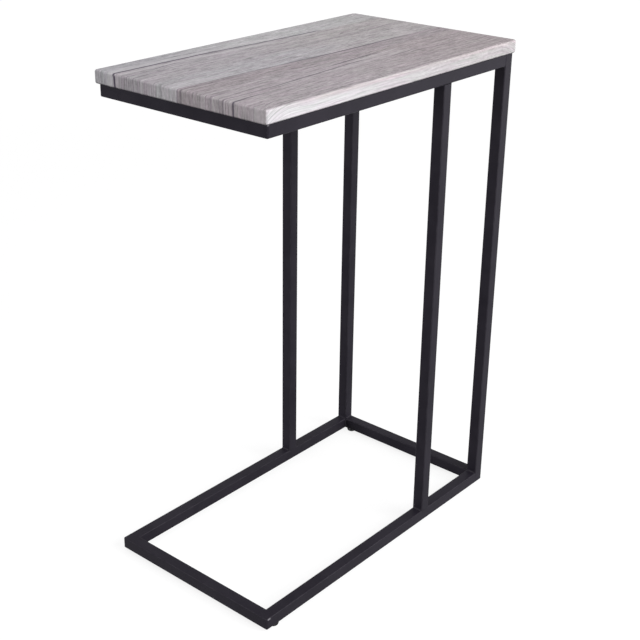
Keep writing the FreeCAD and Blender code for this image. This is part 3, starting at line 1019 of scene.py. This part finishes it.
@dataclass
class LevellingFeet:
    """Four screw-in feet: a moulded pad on a threaded stud, modelled at the first corner and copied.

    Attributes:
        bottom_share: Radius of the pad's lower edge, as a share of its upper one.
        socket_depth: Depth of the hole that holds the stud.
        sole_inset: Width of the ring that the pad stands on.
        sole_depth: Depth of the hollow inside that ring.
        flank_reaches: Half the thread's width at half its depth and at its crest, as shares of the pitch.
        outline_cuts: Points between the two ends of the thread's outline.
        spare_turns: Turns wound past the stud's ends and cut off.
    """

    segments: int = 64
    bottom_share: float = 0.86
    bottom_round: float = 0.001
    bottom_segments: int = 5
    top_round: float = 0.0004
    top_segments: int = 3
    socket_depth: float = 0.0023
    sole_inset: float = 0.0012
    sole_depth: float = 0.0003
    pitch: float = 0.001
    thread_depth: float = 0.0005
    flank_reaches: Tuple[float, ...] = (0.30, 0.18)
    outline_cuts: int = 7
    thread_steps: int = 32
    spare_turns: int = 2

    def pad(self, plastic: Material) -> Piece:
        """Model the first pad.

        Args:
            plastic: Its material.

        Returns:
            The pad, at the first corner.
        """
        name = Corner.FRONT_LEFT.value
        low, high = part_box(name + "_foot")
        stud_low, stud_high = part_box(name + "_stud")
        middle = (low + high) / 2
        radius = (high.x - low.x) / 2
        stud_radius = (stud_high.x - stud_low.x) / 2
        foot = (middle.x, middle.y, low.z)
        pad = Workpiece.rod(name + "_pad", radius, foot, high.z - low.z, self.segments)
        pad.pick_level_faces(low.z, up=False)
        pad.narrow(self.bottom_share, foot)
        pad.pick_level_edges(low.z)
        bpy.ops.mesh.bevel(offset=self.bottom_round, segments=self.bottom_segments, affect="EDGES")
        pad.pick_level_edges(high.z)
        bpy.ops.mesh.bevel(offset=self.top_round, segments=self.top_segments, affect="EDGES")
        pad.pick_level_faces(high.z, up=True)
        bpy.ops.mesh.inset(thickness=radius - self.top_round - stud_radius)
        pad.pull(-self.socket_depth)
        pad.pick_level_faces(low.z, up=False)
        bpy.ops.mesh.inset(thickness=self.sole_inset)
        pad.pull(self.sole_depth)
        return pad.done(plastic)

    def stud(self, zinc: Material) -> Piece:
        """Model the first stud: one turn's outline, wound up its length and cut off square.

        Args:
            zinc: Its material.

        Returns:
            The stud, at the first corner.
        """
        name = Corner.FRONT_LEFT.value
        low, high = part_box(name + "_stud")
        middle = (low + high) / 2
        root = (high.x - low.x) / 2 - self.thread_depth
        bpy.ops.mesh.primitive_plane_add(size=self.pitch, location=(root + self.pitch / 2, 0.0, 0.0),
                                         rotation=(math.pi / 2, 0.0, 0.0))
        stud = Workpiece(name + "_threaded_stud")
        stud.pick(Pick.POINTS, lambda point: point.co.x > root + self.pitch / 2)
        bpy.ops.mesh.delete(type="VERT")
        bpy.ops.mesh.select_all(action="SELECT")
        bpy.ops.mesh.subdivide(number_cuts=self.outline_cuts)
        for reach in self.flank_reaches:
            stud.pick(Pick.POINTS, lambda point: abs(point.co.z) < reach * self.pitch)
            bpy.ops.transform.translate(value=(self.thread_depth / 2, 0.0, 0.0))
        bpy.ops.object.mode_set(mode="OBJECT")
        winding = stud.piece.modifiers.new("thread", "SCREW")
        winding.axis = "Z"
        winding.screw_offset = self.pitch
        winding.iterations = math.ceil((high.z - low.z) / self.pitch) + self.spare_turns
        winding.steps = self.thread_steps
        winding.render_steps = self.thread_steps
        bpy.ops.object.modifier_apply(modifier=winding.name)
        stud.piece.data.transform(Matrix.Translation((middle.x, middle.y, low.z - self.pitch)))
        bpy.ops.object.mode_set(mode="EDIT")
        bpy.ops.mesh.select_all(action="SELECT")
        bpy.ops.mesh.remove_doubles(threshold=LEVEL_SLACK)
        for level, outward in ((low.z, -1.0), (high.z, 1.0)):
            bpy.ops.mesh.select_all(action="SELECT")
            bpy.ops.mesh.bisect(plane_co=(middle.x, middle.y, level), plane_no=(0.0, 0.0, outward),
                                use_fill=True, clear_outer=True, threshold=CUT_SLACK)
        return stud.done(zinc)

    def build(self, plastic: Material, zinc: Material) -> None:
        """Model the pad and stud, copy them to the other corners and let each ride on its body.

        Args:
            plastic: The pads' material.
            zinc: The studs' material.
        """
        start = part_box(Corner.FRONT_LEFT.value + "_foot")[0]
        first_pad = self.pad(plastic)
        first_stud = self.stud(zinc)
        for corner in Corner:
            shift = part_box(corner.value + "_foot")[0] - start
            pad, stud = first_pad, first_stud
            if corner is not Corner.FRONT_LEFT:
                pad = copy_to(first_pad, corner.value + "_pad", shift)
                stud = copy_to(first_stud, corner.value + "_threaded_stud", shift)
            for piece, end, slot in ((pad, "_foot", Slot.PLASTIC), (stud, "_stud", Slot.ZINC)):
                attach(piece, corner.value + "_leveller")
                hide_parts(corner.value + end)
                LOG.info("built %s", piece.name)
        dress("foot_nuts", zinc)


@dataclass(frozen=True)
class SoftBox:
    """A square soft box, with its side in metres and its power in watts."""

    name: str
    place: Point
    aim: Point
    size: float
    power: float

    def hang(self) -> None:
        """Put the lamp in the scene, turned to its aim."""
        data = bpy.data.lights.new(self.name, "AREA")
        data.shape = "SQUARE"
        data.size = self.size
        data.energy = self.power
        lamp = bpy.data.objects.new(self.name, data)
        lamp.location = self.place
        lamp.rotation_euler = (Vector(self.aim) - Vector(self.place)).to_track_quat("-Z", "Y").to_euler()
        bpy.context.scene.collection.objects.link(lamp)


@dataclass
class Studio:
    """Floor, light and camera.

    Attributes:
        focal_pixels: Its focal length, in pixels of the photograph.
        centre_pixels: Where its axis meets the photograph.
        floor_bounce: The floor's colour for light that bounces off it.
        floor_shade: Its colour where it is seen, which shows the shadow.
        floor_glow: Its own light where it is seen, by the distance from the table.
    """

    eye: Point = (-1.075383, -0.913282, 0.932250)
    yaw: float = 0.720203
    pitch: float = -0.409733
    roll: float = 0.005752
    focal_pixels: float = 1229.421
    centre_pixels: Place = (296.228, 296.730)
    image_pixels: float = 640.0
    sensor: float = 36.0
    ambient: float = 0.38
    ambient_tint: Colour = (1.0, 0.985, 1.0)
    floor_size: float = 30.0
    floor_bounce: Colour = (0.10, 0.10, 0.10)
    floor_shade: Colour = (0.21, 0.21, 0.21)
    floor_glow: Ramp = Ramp(0.8, 4.0, 0.84, 0.93)
    boxes: Tuple[SoftBox, ...] = (
        SoftBox("key_box", (0.40, -2.38, 1.60), (0.0, 0.0, 0.45), 1.7, 78.5),
        SoftBox("front_box", (-5.9, 1.50, 0.85), (0.0, 0.0, 0.40), 1.8, 180.0),
        SoftBox("side_box", (1.5, -1.4, 0.45), (0.0, 0.0, 0.45), 1.0, 12.0),
        SoftBox("over_box", (-0.3, 0.2, 2.4), (0.0, 0.0, 0.60), 1.4, 11.0),
    )

    def camera(self) -> None:
        """Stand the camera where the photograph was taken from."""
        forward = Vector((math.cos(self.pitch) * math.cos(self.yaw),
                          math.cos(self.pitch) * math.sin(self.yaw), math.sin(self.pitch)))
        right = Vector((math.sin(self.yaw), -math.cos(self.yaw), 0.0))
        up = right.cross(forward)
        side = right * math.cos(self.roll) + up * math.sin(self.roll)
        rise = up * math.cos(self.roll) - right * math.sin(self.roll)
        data = bpy.data.cameras.new("photo_camera")
        data.sensor_width = self.sensor
        data.lens = self.sensor * self.focal_pixels / self.image_pixels
        data.shift_x = (self.image_pixels / 2 - self.centre_pixels[0]) / self.image_pixels
        data.shift_y = (self.centre_pixels[1] - self.image_pixels / 2) / self.image_pixels
        camera = bpy.data.objects.new("photo_camera", data)
        turn = Matrix((side, rise, -forward)).transposed()
        camera.matrix_world = Matrix.Translation(self.eye) @ turn.to_4x4()
        bpy.context.scene.collection.objects.link(camera)
        bpy.context.scene.camera = camera

    @staticmethod
    def seen(graph: Graph) -> Socket:
        """1 for rays that show the background: from the camera, a mirror or clear stuff."""
        rays = graph.node("ShaderNodeLightPath").outputs
        return graph.greatest([rays["Is Camera Ray"], rays["Is Glossy Ray"], rays["Is Transmission Ray"]])

    def world(self) -> None:
        """White where it is seen, even soft light elsewhere."""
        world = bpy.data.worlds.new("studio")
        bpy.context.scene.world = world
        graph = Graph(world)
        light = graph.node("ShaderNodeBackground", Color=(*self.ambient_tint, 1.0), Strength=self.ambient)
        white = graph.node("ShaderNodeBackground", Color=(*WHITE, 1.0))
        mix = graph.node("ShaderNodeMixShader", self.seen(graph), light.outputs[0], white.outputs[0])
        graph.node("ShaderNodeOutputWorld", Surface=mix.outputs[0])

    def floor(self) -> None:
        """A pale floor that shows white and keeps a soft shadow."""
        bpy.ops.mesh.primitive_plane_add(size=self.floor_size, location=(0.0, 0.0, 0.0))
        floor = bpy.context.active_object
        floor.name = "floor"
        graph = Graph(bpy.data.materials.new("pale_floor"))
        plain = graph.node("ShaderNodeBsdfDiffuse", Color=(*self.floor_bounce, 1.0))
        shaded = graph.node("ShaderNodeBsdfDiffuse", Color=(*self.floor_shade, 1.0))
        away = graph.node("ShaderNodeVectorMath", graph.place())
        away.operation = "LENGTH"
        strength = graph.ramp(away.outputs["Value"], self.floor_glow)
        glow = graph.node("ShaderNodeEmission", Color=(*WHITE, 1.0), Strength=strength)
        both = graph.node("ShaderNodeAddShader", shaded.outputs[0], glow.outputs[0])
        mix = graph.node("ShaderNodeMixShader", self.seen(graph), plain.outputs[0], both.outputs[0])
        graph.node("ShaderNodeOutputMaterial", Surface=mix.outputs[0])
        floor.data.materials.append(graph.owner)

    def build(self) -> None:
        """Set the whole studio up."""
        bpy.context.scene.view_settings.view_transform = "Standard"
        self.camera()
        self.world()
        self.floor()
        for box in self.boxes:
            box.hang()
        LOG.info("studio set up")


def main() -> None:
    """Build each sub-assembly in turn."""
    logging.basicConfig(level=logging.INFO, format="%(name)s: %(message)s")
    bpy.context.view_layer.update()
    plastic = MOULDED_PLASTIC.material()
    zinc = ZINC_PLATE.material()
    TubeFrame().build(plastic)
    Tabletop().build(zinc)
    LevellingFeet().build(plastic, zinc)
    Studio().build()


if __name__ == "__main__":
    main()
